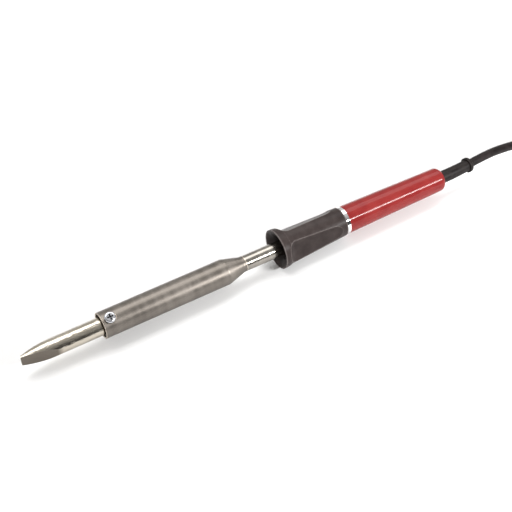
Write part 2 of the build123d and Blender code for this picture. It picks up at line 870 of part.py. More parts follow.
with BuildPart() as cord_end:
    with BuildSketch(cross_plane(sheath_front)):
        Circle(cord_radius)
    sweep(path=sheath_line)
cord_end.part.label = "cord_end"
export_step(cord_end.part, "parts/cord_end.step")

# ---------------------------------------------------------------- mains cord
# It leaves the relief level, sinks to the bench in one long bend and runs along it to the hank.

cord_exit = relief_line @ 1
cord_heading = relief_line % 1
cord_points = [
    cord_exit,
    cord_exit + cord_heading * cord_first_run,
    Vector(241.0, 5.6, 10.8),
    Vector(264.0, 8.0, cord_radius),
    Vector(282.0, 8.0, cord_radius),
]


def bend_radii(points):
    """Radius at each corner of a cord's route, as large as the two runs that meet there allow."""
    runs = [after - before for before, after in zip(points, points[1:])]
    return [
        bend_share * min(run.length, following.length) / tan(radians(run.get_angle(following)) / 2)
        for run, following in zip(runs, runs[1:])
    ]


def report_cord(name, radii, line, solid):
    """Prints a cord's radii, its length, and its volume beside its section times its length."""
    print(name, "radii", [round(bend, 1) for bend in radii], "length", round(line.length, 1))
    print("volume", round(solid.volume, 1), "expected", round(pi * cord_radius**2 * line.length, 1))


cord_radii = bend_radii(cord_points)
with BuildPart() as mains_cord:
    with BuildLine() as cord_route:
        FilletPolyline(*cord_points, radius=cord_radii)
    with BuildSketch(Plane(origin=cord_exit, z_dir=cord_heading)):
        Circle(cord_radius)
    sweep()
report_cord("mains_cord", cord_radii, cord_route.wire(), mains_cord.part)
mains_cord.part.label = "mains_cord"
export_step(mains_cord.part, "parts/mains_cord.step")

# ---------------------------------------------------------------- cord hank
# The rest of the cord, folded in a long oval hank, with one turn on another. The cord comes in at the bottom
# of one side, runs along the top of the same side at the end, and leaves there. The hank rests on its tie.

cord_landing = cord_points[-1]
hank_side = cord_landing.Y
hank_front = cord_landing.X + hank_lead_in
hank_rear = hank_front + hank_straight
hank_centre = ((hank_front + hank_rear) / 2, hank_side - hank_fold_radius)
hank_base = tie_thickness
hank_deck = hank_base + hank_turns * cord_diameter
hank_half_section = cord_radius - hank_inset
hank_exit = Vector(hank_rear + hank_lead_out, hank_side, hank_deck + cord_radius)

with BuildPart() as cord_hank:
    with BuildSketch(Plane.XY.offset(hank_base + hank_inset)):
        with Locations(hank_centre):
            SlotCenterToCenter(hank_straight, 2 * (hank_fold_radius + hank_half_section))
            SlotCenterToCenter(
                hank_straight, 2 * (hank_fold_radius - hank_half_section), mode=Mode.SUBTRACT
            )
    extrude(amount=hank_deck - hank_base - 2 * hank_inset)
    fillet(edges().filter_by(Plane.XY), radius=hank_round)
    with BuildSketch(Plane.XY.offset(hank_deck - cord_radius)):
        with Locations((hank_centre[0], hank_side)):
            Rectangle(hank_straight, 2 * hank_half_section)
    extrude(amount=cord_radius + cord_diameter - hank_inset)
    with BuildSketch(Plane(origin=cord_landing, z_dir=(1, 0, 0))):
        Circle(cord_radius)
    extrude(amount=hank_lead_in)
    with BuildSketch(Plane(origin=hank_exit, z_dir=(-1, 0, 0))):
        Circle(cord_radius)
    extrude(amount=hank_lead_out + cord_diameter)
cord_hank.part.label = "cord_hank"
export_step(cord_hank.part, "parts/cord_hank.step")

tie_near_side = hank_side + cord_radius + tie_slack
tie_far_side = hank_side - 2 * hank_fold_radius - cord_radius - tie_slack
tie_near_top = hank_deck + cord_diameter + tie_slack
tie_far_top = hank_deck + tie_slack
tie_plane = Plane(origin=(hank_centre[0], 0, 0), x_dir=(0, 1, 0), z_dir=(1, 0, 0))

with BuildPart() as cord_tie:
    with BuildSketch(tie_plane) as tie_section:
        with BuildLine():
            Polyline(
                (tie_near_side, tie_thickness),
                (tie_near_side, tie_near_top),
                (tie_near_side - cord_diameter, tie_near_top),
                (tie_far_side + cord_diameter, tie_far_top),
                (tie_far_side, tie_far_top),
                (tie_far_side, tie_thickness),
                close=True,
            )
        make_face()
        fillet(tie_section.vertices(), radius=tie_corner_round)
        tie_inside = tie_section.sketch_local
        offset(amount=tie_thickness)
        add(tie_inside, mode=Mode.SUBTRACT)
    extrude(amount=tie_width / 2, both=True)
cord_tie.part.label = "cord_tie"
export_step(cord_tie.part, "parts/cord_tie.step")

# ---------------------------------------------------------------- cord tail
# From the hank's top down to the plug, which lies nearer the iron's own line.

tail_points = [
    hank_exit,
    Vector(429.0, 8.0, hank_exit.Z),
    Vector(468.0, -4.0, plug_half_height),
    Vector(487.0, -4.0, plug_half_height),
]
tail_radii = bend_radii(tail_points)
with BuildPart() as cord_tail:
    with BuildLine() as tail_route:
        FilletPolyline(*tail_points, radius=tail_radii)
    with BuildSketch(Plane(origin=hank_exit, z_dir=(1, 0, 0))):
        Circle(cord_radius)
    sweep()
report_cord("cord_tail", tail_radii, tail_route.wire(), cord_tail.part)
cord_tail.part.label = "cord_tail"
export_step(cord_tail.part, "parts/cord_tail.step")

# ---------------------------------------------------------------- mains plug
# Moulded round plug with two flat sides. It lies on one flat, with its pins level and pointing away.

plug_plane = Plane(origin=tail_points[-1], x_dir=(1, 0, 0), z_dir=(0, -1, 0))
plug_axis = Axis(tail_points[-1], (1, 0, 0))
plug_rear = plug_relief_length
plug_face = plug_rear + plug_length
plug_shoulder = plug_face - plug_face_length
plug_rear_radius = plug_rear_diameter / 2
plug_radius = plug_diameter / 2
plug_middle = ((plug_rear + plug_shoulder) / 2, (plug_rear_radius + plug_radius) / 2)


def plug_cross_plane(distance):
    """Plane square to the plug, at a distance from the cord's end, with local x across and local y up."""
    centre = plug_plane.origin + Vector(distance, 0, 0)
    return Plane(origin=centre, x_dir=(0, 1, 0), z_dir=(1, 0, 0))


with BuildPart() as plug_relief:
    with BuildSketch(plug_plane):
        with BuildLine():
            Polyline(
                (0, 0),
                (0, plug_relief_end_diameter / 2),
                (plug_rear, plug_relief_base_diameter / 2),
                (plug_rear, 0),
                close=True,
            )
        make_face()
        with Locations((plug_slot_start, cord_radius + plug_slot_floor)):
            with GridLocations(plug_slot_pitch, 0, plug_slot_count, 1, align=(Align.MIN, Align.MIN)):
                Rectangle(
                    plug_slot_width,
                    plug_relief_base_diameter,
                    align=(Align.MIN, Align.MIN),
                    mode=Mode.SUBTRACT,
                )
    revolve(axis=plug_axis)
plug_relief.part.label = "plug_relief"
export_step(plug_relief.part, "parts/plug_relief.step")

with BuildPart() as plug_body:
    with BuildSketch(plug_plane):
        with BuildLine():
            hollow = TangentArc((plug_rear, plug_rear_radius), plug_middle, tangent=(1, 0))
            TangentArc(plug_middle, (plug_shoulder, plug_radius), tangent=hollow % 1)
            Polyline(
                (plug_shoulder, plug_radius),
                (plug_face, plug_radius),
                (plug_face, 0),
                (plug_rear, 0),
                (plug_rear, plug_rear_radius),
            )
        make_face()
    revolve(axis=plug_axis)
    chamfer(edges().group_by(Axis.X)[-1], length=plug_face_chamfer)
    for side in (-1, 1):
        with BuildSketch(plug_cross_plane(plug_rear)):
            with Locations((0, side * (plug_half_height + plug_radius))):
                Rectangle(plug_diameter, 2 * plug_radius)
        extrude(amount=plug_length, mode=Mode.SUBTRACT)
        with BuildSketch(plug_cross_plane(plug_face)):
            with Locations((0, side * plug_half_height)):
                Rectangle(clip_groove_width, 2 * clip_groove_depth)
        extrude(amount=-clip_groove_length, mode=Mode.SUBTRACT)
    with BuildSketch(plug_cross_plane(plug_face)):
        with GridLocations(pin_spacing, 0, 2, 1):
            Circle(pin_root_diameter / 2)
    extrude(amount=-pin_root_length, mode=Mode.SUBTRACT)
plug_body.part.label = "plug_body"
export_step(plug_body.part, "parts/plug_body.step")

with BuildPart() as plug_pins:
    with BuildSketch(plug_cross_plane(plug_face)):
        with GridLocations(pin_spacing, 0, 2, 1):
            Circle(pin_diameter / 2)
    extrude(amount=pin_length)
    fillet(edges().group_by(Axis.X)[-1], radius=pin_end_round)
    with BuildSketch(plug_cross_plane(plug_face)):
        with GridLocations(pin_spacing, 0, 2, 1):
            Circle(pin_root_diameter / 2)
    extrude(amount=-pin_root_length)
plug_pins.part.label = "plug_pins"
export_step(plug_pins.part, "parts/plug_pins.step")

clip_floor = plug_half_height - clip_groove_depth
clip_rear = plug_face - clip_length

with BuildPart() as plug_earth_clips:
    for side in (-1, 1):
        with BuildSketch(plug_plane):
            with BuildLine():
                Polyline(
                    (clip_rear, side * clip_floor),
                    (clip_rear, side * (clip_floor + clip_thickness)),
                    (clip_rear + clip_ramp, side * (clip_floor + clip_rise + clip_thickness)),
                    (plug_face - clip_ramp, side * (clip_floor + clip_rise + clip_thickness)),
                    (plug_face, side * (clip_floor + clip_thickness)),
                    (plug_face, side * clip_floor),
                    (plug_face - clip_ramp, side * (clip_floor + clip_rise)),
                    (clip_rear + clip_ramp, side * (clip_floor + clip_rise)),
                    close=True,
                )
            make_face()
        extrude(amount=clip_width / 2, both=True)
plug_earth_clips.part.label = "plug_earth_clips"
export_step(plug_earth_clips.part, "parts/plug_earth_clips.step")
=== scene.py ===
from math import cos, pi, radians, sin

import bpy
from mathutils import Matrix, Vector


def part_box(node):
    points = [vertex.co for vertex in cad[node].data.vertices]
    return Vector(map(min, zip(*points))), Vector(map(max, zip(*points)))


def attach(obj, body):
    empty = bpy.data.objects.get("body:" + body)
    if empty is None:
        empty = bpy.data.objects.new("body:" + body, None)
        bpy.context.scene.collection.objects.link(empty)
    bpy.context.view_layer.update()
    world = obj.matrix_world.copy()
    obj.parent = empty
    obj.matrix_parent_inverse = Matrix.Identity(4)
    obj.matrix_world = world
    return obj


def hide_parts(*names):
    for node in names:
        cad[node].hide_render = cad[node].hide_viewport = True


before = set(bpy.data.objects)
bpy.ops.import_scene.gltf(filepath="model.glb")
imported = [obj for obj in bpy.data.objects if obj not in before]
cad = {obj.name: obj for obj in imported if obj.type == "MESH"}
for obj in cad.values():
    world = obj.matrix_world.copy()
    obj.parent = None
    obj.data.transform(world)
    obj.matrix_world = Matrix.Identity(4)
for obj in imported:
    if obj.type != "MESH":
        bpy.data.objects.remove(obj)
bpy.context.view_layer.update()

# ---------------------------------------------------------------- viewpoint
# The iron lies level along X with its blade to the left. It is seen from the blade's side, well above the
# bench, through a short telephoto lens.

barrel_low, barrel_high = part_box("barrel")
iron_height = (barrel_low.z + barrel_high.z) / 2
view_azimuth = radians(-30.7)
view_elevation = radians(47.1)
view_distance = 0.79
view_lens = 77.8
view_target = Vector((0.0091, 0.0020, iron_height))
view_nearest = 0.01
towards_viewer = Vector(
    (
        sin(view_azimuth) * cos(view_elevation),
        -cos(view_azimuth) * cos(view_elevation),
        sin(view_elevation),
    )
)
camera = bpy.data.objects.new("camera", bpy.data.cameras.new("camera"))
camera.data.lens = view_lens
camera.data.clip_start = view_nearest
camera.location = view_target + towards_viewer * view_distance
camera.rotation_mode = "QUATERNION"
camera.rotation_quaternion = towards_viewer.to_track_quat("Z", "Y")
bpy.context.scene.collection.objects.link(camera)
bpy.context.scene.camera = camera
bpy.context.scene.view_settings.view_transform = "Standard"

# ---------------------------------------------------------------- mains cord
# Round three-core lead in a smooth black rubber sheath. It leaves the strain relief and sinks to the bench in
# one long bend. It is folded in an oval hank of four turns, held by a woven tie, and its end runs along the
# hank's top and down to the plug.

cord_diameter = 0.0068
cord_radius = cord_diameter / 2
cord_exit = (0.20035, 0.00135, 0.0150)
cord_route = [
    cord_exit,
    (0.21825, 0.00323, 0.0150),
    (0.2410, 0.0056, 0.0108),
    (0.2640, 0.0080, cord_radius),
    (0.2820, 0.0080, cord_radius),
]
hank_turns = 4
hank_front = 0.308
hank_straight = 0.085
hank_middle = -0.0125  # how far the hank's own long axis lies to the side
hank_fold_radius = 0.0207
hank_base = 0.0010  # thickness of the tie that the hank rests on
straight_steps = 4
fold_steps = 12


def smooth_step(share):
    """Eased share of a change, from 0 at its start to 1 at its end."""
    return share * share * (3 - 2 * share)


def hank_side_points(side, height):
    """Points along one straight side, in the cord's own direction: 1 is the near pass away from the iron."""
    for step in range(straight_steps + 1):
        share = step / straight_steps if side > 0 else 1 - step / straight_steps
        yield (hank_front + share * hank_straight, hank_middle + side * hank_fold_radius, height)


def hank_fold_points(end_x, side, height, climb):
    """Points inside one end fold, between its two sides, rising by climb on the way."""
    for step in range(1, fold_steps):
        angle = pi * step / fold_steps
        yield (
            end_x + side * hank_fold_radius * sin(angle),
            hank_middle + side * hank_fold_radius * cos(angle),
            height + climb * smooth_step(step / fold_steps),
        )


hank_layer = hank_base + cord_radius
for _ in range(hank_turns):
    cord_route += hank_side_points(1, hank_layer)
    cord_route += hank_fold_points(hank_front + hank_straight, 1, hank_layer, 0)
    cord_route += hank_side_points(-1, hank_layer)
    cord_route += hank_fold_points(hank_front, -1, hank_layer, cord_diameter)
    hank_layer += cord_diameter
cord_route += hank_side_points(1, hank_layer)
plug_side, plug_height = -0.0040, 0.0170
cord_route += [
    (0.4100, 0.0080, hank_layer),
    (0.4290, 0.0080, hank_layer),
    (0.4680, plug_side, plug_height),
    (0.4870, plug_side, plug_height),
]

cord_curve = bpy.data.curves.new("mains_lead", "CURVE")
cord_curve.dimensions = "3D"
cord_line = cord_curve.splines.new("NURBS")
cord_line.points.add(len(cord_route) - 1)
for point, place in zip(cord_line.points, cord_route):
    point.co = (*place, 1)
cord_line.order_u = 3
cord_line.use_endpoint_u = True
cord_curve.resolution_u = 6
cord_curve.bevel_depth = cord_radius
cord_curve.bevel_resolution = 6
cord_curve.use_fill_caps = True
mains_lead = bpy.data.objects.new("mains_lead", cord_curve)
bpy.context.scene.collection.objects.link(mains_lead)


def new_group(name, inputs, outputs):
    """Empty shader node group with named sockets; gives its tree, its input node and its output node."""
    tree = bpy.data.node_groups.new(name, "ShaderNodeTree")
    for socket_name, kind, value in inputs:
        socket = tree.interface.new_socket(socket_name, in_out="INPUT", socket_type=f"NodeSocket{kind}")
        socket.default_value = value
    for socket_name, kind in outputs:
        tree.interface.new_socket(socket_name, in_out="OUTPUT", socket_type=f"NodeSocket{kind}")
    return tree, tree.nodes.new("NodeGroupInput"), tree.nodes.new("NodeGroupOutput")


def stretched_noise(tree, entry, detail):
    """Noise over the piece's own coordinates, stretched and scaled by the group's inputs."""
    coordinates = tree.nodes.new("ShaderNodeTexCoord")
    stretch = tree.nodes.new("ShaderNodeVectorMath")
    stretch.operation = "MULTIPLY"
    tree.links.new(coordinates.outputs["Object"], stretch.inputs[0])
    tree.links.new(entry.outputs["Stretch"], stretch.inputs[1])
    noise = tree.nodes.new("ShaderNodeTexNoise")
    noise.inputs["Detail"].default_value = detail
    tree.links.new(stretch.outputs[0], noise.inputs["Vector"])
    tree.links.new(entry.outputs["Scale"], noise.inputs["Scale"])
    return noise.outputs["Fac"]


def spread_value(tree, value, low, high, at_low=0, at_high=1):
    """Value spread from low..high to at_low..at_high, where each bound is a number or a node's output."""
    node = tree.nodes.new("ShaderNodeMapRange")
    tree.links.new(value, node.inputs["Value"])
    for name, bound in (("From Min", low), ("From Max", high), ("To Min", at_low), ("To Max", at_high)):
        if isinstance(bound, bpy.types.NodeSocket):
            tree.links.new(bound, node.inputs[name])
        else:
            node.inputs[name].default_value = bound
    return node.outputs["Result"]


def combine(tree, operation, *values):
    """Result of a Math node's operation on one or two values."""
    node = tree.nodes.new("ShaderNodeMath")
    node.operation = operation
    for value, socket in zip(values, node.inputs):
        tree.links.new(value, socket)
    return node.outputs[0]


# Patches: slow change of colour and gloss over a surface, as handling, heat and moulding leave it.
patches, entry, leave = new_group(
    "patches",
    [
        ("Scale", "Float", 100),
        ("Stretch", "Vector", (1, 1, 1)),
        ("Low", "Float", 0.35),
        ("High", "Float", 0.65),
    ],
    [("Value", "Float")],
)
patch_noise = stretched_noise(patches, entry, detail=5)
patch_value = spread_value(patches, patch_noise, entry.outputs["Low"], entry.outputs["High"])
patches.links.new(patch_value, leave.inputs["Value"])

# Grain: fine height, for moulded skins with an even stretch and for turned or drawn metal with a long one.
grain, entry, leave = new_group(
    "grain",
    [("Scale", "Float", 2000), ("Stretch", "Vector", (1, 1, 1))],
    [("Height", "Float")],
)
grain.links.new(stretched_noise(grain, entry, detail=3), leave.inputs["Height"])

# Edge wear and highlight: mask that is one along outer corners, broken up so that it is ragged. It is rubbed
# wear on most pieces and a painted highlight along the grip's ridges. The corners are found by how far the
# true normal leans from a rounded one.
corner_round = 0.995
corner_sharp = 0.93
edge_wear_and_highlight, entry, leave = new_group(
    "edge_wear_and_highlight",
    [
        ("Radius", "Float", 0.0005),
        ("Amount", "Float", 1),
        ("Scale", "Float", 600),
        ("Stretch", "Vector", (1, 1, 1)),
    ],
    [("Mask", "Float")],
)
rounded = edge_wear_and_highlight.nodes.new("ShaderNodeBevel")
rounded.samples = 6
edge_wear_and_highlight.links.new(entry.outputs["Radius"], rounded.inputs["Radius"])
surface = edge_wear_and_highlight.nodes.new("ShaderNodeNewGeometry")
likeness = edge_wear_and_highlight.nodes.new("ShaderNodeVectorMath")
likeness.operation = "DOT_PRODUCT"
edge_wear_and_highlight.links.new(rounded.outputs["Normal"], likeness.inputs[0])
edge_wear_and_highlight.links.new(surface.outputs["Normal"], likeness.inputs[1])
corner = spread_value(edge_wear_and_highlight, likeness.outputs["Value"], corner_round, corner_sharp)
ragged = combine(edge_wear_and_highlight, "MULTIPLY", corner, stretched_noise(edge_wear_and_highlight, entry, detail=4))
edge_mask = combine(edge_wear_and_highlight, "MULTIPLY", ragged, entry.outputs["Amount"])
edge_mask.node.use_clamp = True
edge_wear_and_highlight.links.new(edge_mask, leave.inputs["Mask"])

# Crevice shade: mask that is one in narrow corners and recesses, for painted shade where they are occluded.
crevice_open = 0.85
crevice_shut = 0.45
painted_crevice_shade, entry, leave = new_group("painted_crevice_shade", [("Reach", "Float", 0.001)], [("Mask", "Float")])
closeness = painted_crevice_shade.nodes.new("ShaderNodeAmbientOcclusion")
closeness.samples = 8
painted_crevice_shade.links.new(entry.outputs["Reach"], closeness.inputs["Distance"])
hidden = spread_value(painted_crevice_shade, closeness.outputs["AO"], crevice_open, crevice_shut)
painted_crevice_shade.links.new(hidden, leave.inputs["Mask"])

# Weave: two sets of crossing ridges, for braid and webbing.
weave, entry, leave = new_group("weave", [("Scale", "Float", 1000)], [("Height", "Float")])
thread_place = weave.nodes.new("ShaderNodeTexCoord")
thread_heights = []
for thread_run in ("X", "DIAGONAL"):
    thread = weave.nodes.new("ShaderNodeTexWave")
    thread.bands_direction = thread_run
    weave.links.new(thread_place.outputs["Object"], thread.inputs["Vector"])
    weave.links.new(entry.outputs["Scale"], thread.inputs["Scale"])
    thread_heights.append(thread.outputs["Fac"])
weave.links.new(combine(weave, "MAXIMUM", *thread_heights), leave.inputs["Height"])


def use_group(material, group, **values):
    """Places a node group in a material with its own values."""
    node = material.node_tree.nodes.new("ShaderNodeGroup")
    node.node_tree = group
    for name, value in values.items():
        node.inputs[name].default_value = value
    return node


def blend_colour(tree, mask, under, over):
    """Colour that goes from under, a colour or a node's output, to the colour over where the mask is one."""
    mix = tree.nodes.new("ShaderNodeMix")
    mix.data_type = "RGBA"
    if isinstance(under, bpy.types.NodeSocket):
        tree.links.new(under, mix.inputs["A"])
    else:
        mix.inputs["A"].default_value = (*under, 1)
    mix.inputs["B"].default_value = (*over, 1)
    tree.links.new(mask, mix.inputs["Factor"])
    return mix.outputs["Result"]


def finish(
    name,
    dark,
    light,
    patch_scale,
    gloss,
    grain_scale,
    grain_depth,
    stretch=(1, 1, 1),
    wear_and_highlight=None,
    edge_radius=0.0004,
    edge_amount=1.6,
    **shader_values,
):
    """Surface finish whose colour runs from dark to light in patches, with gloss as its two roughnesses."""
    material = bpy.data.materials.new(name)
    material.use_nodes = True
    tree = material.node_tree
    shader = tree.nodes["Principled BSDF"]
    for socket, value in shader_values.items():
        shader.inputs[socket.replace("_", " ")].default_value = value
    patch = use_group(material, patches, Scale=patch_scale, Stretch=stretch)
    colour = blend_colour(tree, patch.outputs["Value"], dark, light)
    if wear_and_highlight:
        edge = use_group(material, edge_wear_and_highlight, Radius=edge_radius, Amount=edge_amount)
        colour = blend_colour(tree, edge.outputs["Mask"], colour, wear_and_highlight)
    tree.links.new(colour, shader.inputs["Base Color"])
    roughness = spread_value(tree, patch.outputs["Value"], 0, 1, *gloss)
    tree.links.new(roughness, shader.inputs["Roughness"])
    skin = use_group(material, grain, Scale=grain_scale, Stretch=stretch)
    bump = tree.nodes.new("ShaderNodeBump")
    bump.inputs["Distance"].default_value = grain_depth
    tree.links.new(skin.outputs["Height"], bump.inputs["Height"])
    tree.links.new(bump.outputs["Normal"], shader.inputs["Normal"])
    return material


def weave_over(material, thread_scale, depth):
    """Puts crossing threads on a finish in place of its grain."""
    threads = use_group(material, weave, Scale=thread_scale)
    bump = material.node_tree.nodes["Bump"]
    bump.inputs["Distance"].default_value = depth
    material.node_tree.links.new(threads.outputs["Height"], bump.inputs["Height"])


def stain_and_shade(material, mask, colour):
    """Covers a finish's colour with another one where the mask is one."""
    tree = material.node_tree
    base = tree.nodes["Principled BSDF"].inputs["Base Color"]
    tree.links.new(blend_colour(tree, mask, base.links[0].from_socket, colour), base)


def dress(material, *names):
    """Gives CAD pieces a finish."""
    for name in names:
        for slot in cad[name].material_slots:
            slot.material = material


cord_rubber = finish(
    "cord_rubber", dark=(0.008, 0.006, 0.006), light=(0.018, 0.013, 0.013),
    patch_scale=220, gloss=(0.38, 0.52), grain_scale=2600, grain_depth=0.00004,
    Specular_IOR_Level=0.12,
)
tie_fabric = finish(
    "tie_fabric", dark=(0.014, 0.013, 0.013), light=(0.030, 0.028, 0.027),
    patch_scale=300, gloss=(0.75, 0.90), grain_scale=2600, grain_depth=0.00004,
)
weave_over(tie_fabric, thread_scale=350, depth=0.00025)
cord_curve.materials.append(cord_rubber)
dress(cord_rubber, "cord_end", "mains_cord", "cord_hank", "cord_tail")
dress(tie_fabric, "cord_tie")
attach(mains_lead, "iron")
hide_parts("mains_cord", "cord_hank", "cord_tail")

# ---------------------------------------------------------------- bench and light
# A plain pale bench top. One wide soft light hangs over the iron, and narrow ones stand beside the viewer, a
# dim one for the barrel and a bright one for the neck, grip and handle.
# The room is pale over and behind the bench and dim on the viewer's side, so bright metal shows a dark line.

bench_half_width = 3.0
bench_mesh = bpy.data.meshes.new("bench")
bench_sides = ((-1, -1), (1, -1), (1, 1), (-1, 1))
bench_corners = [(x * bench_half_width, y * bench_half_width, 0) for x, y in bench_sides]
bench_mesh.from_pydata(bench_corners, [], [(0, 1, 2, 3)])
bench = bpy.data.objects.new("bench", bench_mesh)
bpy.context.scene.collection.objects.link(bench)
bench_mesh.materials.append(
    finish(
        "bench_top", dark=(0.86, 0.86, 0.86), light=(0.90, 0.90, 0.90),
        patch_scale=4, gloss=(0.75, 0.85), grain_scale=300, grain_depth=0.00002,
    )
)


def soft_light(name, place, length, width, watts):
    """Rectangular light that is long along the iron and faces it."""
    lamp = bpy.data.lights.new(name, "AREA")
    lamp.shape = "RECTANGLE"
    lamp.size = length
    lamp.size_y = width
    lamp.energy = watts
    light = bpy.data.objects.new(name, lamp)
    light.location = place
    light.rotation_mode = "QUATERNION"
    aim = Vector((0, place[1], place[2] - iron_height))
    light.rotation_quaternion = aim.to_track_quat("Z", "Y")
    light.visible_camera = False
    bpy.context.scene.collection.objects.link(light)


soft_light("overhead_light", place=(0.25, 0.33, 0.87), length=1.7, width=0.54, watts=9.2)
soft_light("barrel_light", place=(0.23, -0.64, 0.46), length=0.12, width=0.08, watts=0.16)
soft_light("handle_light", place=(0.53, -0.64, 0.46), length=0.48, width=0.05, watts=11)

room_bright_side = (0, 0.55, 0.83)
room_lean_dim, room_lean_bright = -0.15, 0.85
room_dim, room_bright = 0.08, 0.75
room_tint = (1, 0.99, 0.97, 1)
world = bpy.data.worlds.new("room")
world.use_nodes = True
bpy.context.scene.world = world
room = world.node_tree
room_direction = room.nodes.new("ShaderNodeTexCoord")
room_lean = room.nodes.new("ShaderNodeVectorMath")
room_lean.operation = "DOT_PRODUCT"
room_lean.inputs[1].default_value = room_bright_side
room.links.new(room_direction.outputs["Generated"], room_lean.inputs[0])
room_shade = spread_value(
    room, room_lean.outputs["Value"], room_lean_dim, room_lean_bright, room_dim, room_bright
)
room.links.new(room_shade, room.nodes["Background"].inputs["Strength"])
room.nodes["Background"].inputs["Color"].default_value = room_tint

# ---------------------------------------------------------------- soldering tip
# Copper rod with a chisel end, plated with iron and nickel. The blade's two flat faces are dull from solder.
# The rod slides into the barrel and is held by one screw.

tip_plating = finish(
    "tip_plating", dark=(0.40, 0.36, 0.30), light=(0.56, 0.515, 0.44),
    patch_scale=120, gloss=(0.07, 0.17), grain_scale=900, grain_depth=0.00018, stretch=(0.3, 1, 1),
    wear_and_highlight=(0.74, 0.70, 0.62), Metallic=1.0,
)

# Flat faces: mask that is one on flats that face sideways, from the blade's edge to Start, and fades out over
# Length behind it.
face_curved = 0.90
face_flat = 0.96
flat_faces, entry, leave = new_group(
    "flat_faces", [("Start", "Float", 0), ("Length", "Float", 0.01)], [("Mask", "Float")]
)
face_place = flat_faces.nodes.new("ShaderNodeTexCoord")
face_normal = flat_faces.nodes.new("ShaderNodeSeparateXYZ")
flat_faces.links.new(face_place.outputs["Normal"], face_normal.inputs[0])
face_reach = flat_faces.nodes.new("ShaderNodeSeparateXYZ")
flat_faces.links.new(face_place.outputs["Object"], face_reach.inputs[0])
face_turn = combine(flat_faces, "ABSOLUTE", face_normal.outputs["Y"])
face_flatness = spread_value(flat_faces, face_turn, face_curved, face_flat)
face_start = entry.outputs["Start"]
face_end = combine(flat_faces, "ADD", face_start, entry.outputs["Length"])
face_fade = spread_value(flat_faces, face_reach.outputs["X"], face_start, face_end, at_low=1, at_high=0)
flat_faces.links.new(combine(flat_faces, "MULTIPLY", face_flatness, face_fade), leave.inputs["Mask"])

tinned_length = 0.024
tinned_fade = 0.004
tinned_grey = (0.15, 0.13, 0.11)
tip_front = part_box("soldering_tip")[0].x
tinned = use_group(tip_plating, flat_faces, Start=tip_front + tinned_length, Length=tinned_fade)
stain_and_shade(tip_plating, tinned.outputs["Mask"], colour=tinned_grey)
dress(tip_plating, "soldering_tip")

# ---------------------------------------------------------------- barrel
# Satin steel tube that covers the heater. It is drawn down in a cone at its rear, where the neck tube is
# fixed in it, and its rim is rubbed bright.

barrel_steel = finish(
    "barrel_steel", dark=(0.158, 0.141, 0.124), light=(0.21, 0.189, 0.168),
    patch_scale=90, gloss=(0.38, 0.48), grain_scale=1500, grain_depth=0.00004, stretch=(2.0, 0.3, 0.3),
    wear_and_highlight=(0.80, 0.70, 0.58), edge_radius=0.0006, edge_amount=3.0, Metallic=1.0,
)
dress(barrel_steel, "barrel")

# ---------------------------------------------------------------- tip screw and washer
# Bright plated pan-head screw on a split washer. It goes through the barrel's wall and the bush behind it,
# and bears on the tip. Its recess and the joint under its head carry painted shade, dark blue-black where
# occluded.

screw_steel = finish(
    "screw_steel", dark=(0.55, 0.56, 0.60), light=(0.74, 0.75, 0.79),
    patch_scale=500, gloss=(0.10, 0.20), grain_scale=3000, grain_depth=0.00001,
    wear_and_highlight=(0.90, 0.90, 0.92), edge_radius=0.0002, Metallic=1.0,
)
# Painted shade: the recess and the gaps under the head are darkened where the occlusion mask is high; the
# terminal and clamp screws share this finish and get it too.
recess_painted_shade = (0.012, 0.013, 0.024)
screw_painted_shade = use_group(screw_steel, painted_crevice_shade, Reach=0.0012)
stain_and_shade(screw_steel, screw_painted_shade.outputs["Mask"], colour=recess_painted_shade)
dress(screw_steel, "tip_screw", "lock_washer")

# ---------------------------------------------------------------- neck tube
# Thin polished steel tube that holds the hot barrel away from the grip and carries the wires. It is fixed in
# the barrel's rear end and in the grip.

neck_steel = finish(
    "neck_steel", dark=(0.24, 0.222, 0.20), light=(0.32, 0.298, 0.267),
    patch_scale=90, gloss=(0.16, 0.26), grain_scale=1500, grain_depth=0.00001, stretch=(2.0, 0.3, 0.3),
    wear_and_highlight=(0.75, 0.72, 0.66), Metallic=1.0,
)
dress(neck_steel, "neck_tube")

# ---------------------------------------------------------------- grip
# Black heat-proof grip, moulded in one piece with a cup-shaped guard and three finger flats. The flats' edges
# are painted paler as a highlight along the ridges.

grip_black = finish(
    "grip_black", dark=(0.030, 0.0225, 0.0215), light=(0.045, 0.035, 0.033),
    patch_scale=130, gloss=(0.30, 0.38), grain_scale=1800, grain_depth=0.00004,
    wear_and_highlight=(0.150, 0.128, 0.122), edge_radius=0.0016, edge_amount=2.4, Specular_IOR_Level=0.08,
)
dress(grip_black, "grip")

# ---------------------------------------------------------------- trim ring
# Bright chromed brass ring. It is pushed on the grip's tail and held between the grip and the handle.
# It has no fastening of its own.

ring_chrome = finish(
    "ring_chrome", dark=(0.80, 0.80, 0.81), light=(0.90, 0.90, 0.91),
    patch_scale=200, gloss=(0.03, 0.08), grain_scale=2500, grain_depth=0.000005,
    Metallic=1.0,
)
dress(ring_chrome, "chrome_ring")

# ---------------------------------------------------------------- handle
# Glossy red handle, moulded in plastic as a tapered shell with a rounded rear end.
# It is pushed over the grip's tail.

handle_red = finish(
    "handle_red", dark=(0.195, 0.017, 0.017), light=(0.238, 0.026, 0.024),
    patch_scale=80, gloss=(0.12, 0.18), grain_scale=1400, grain_depth=0.00002,
    wear_and_highlight=(0.36, 0.050, 0.047), Specular_IOR_Level=0.15,
)
dress(handle_red, "handle")

# ---------------------------------------------------------------- strain relief
# Soft black rubber sleeve with a bead at its end. It keeps the cord from bending sharply at the handle, which
# holds it by a flange inside.

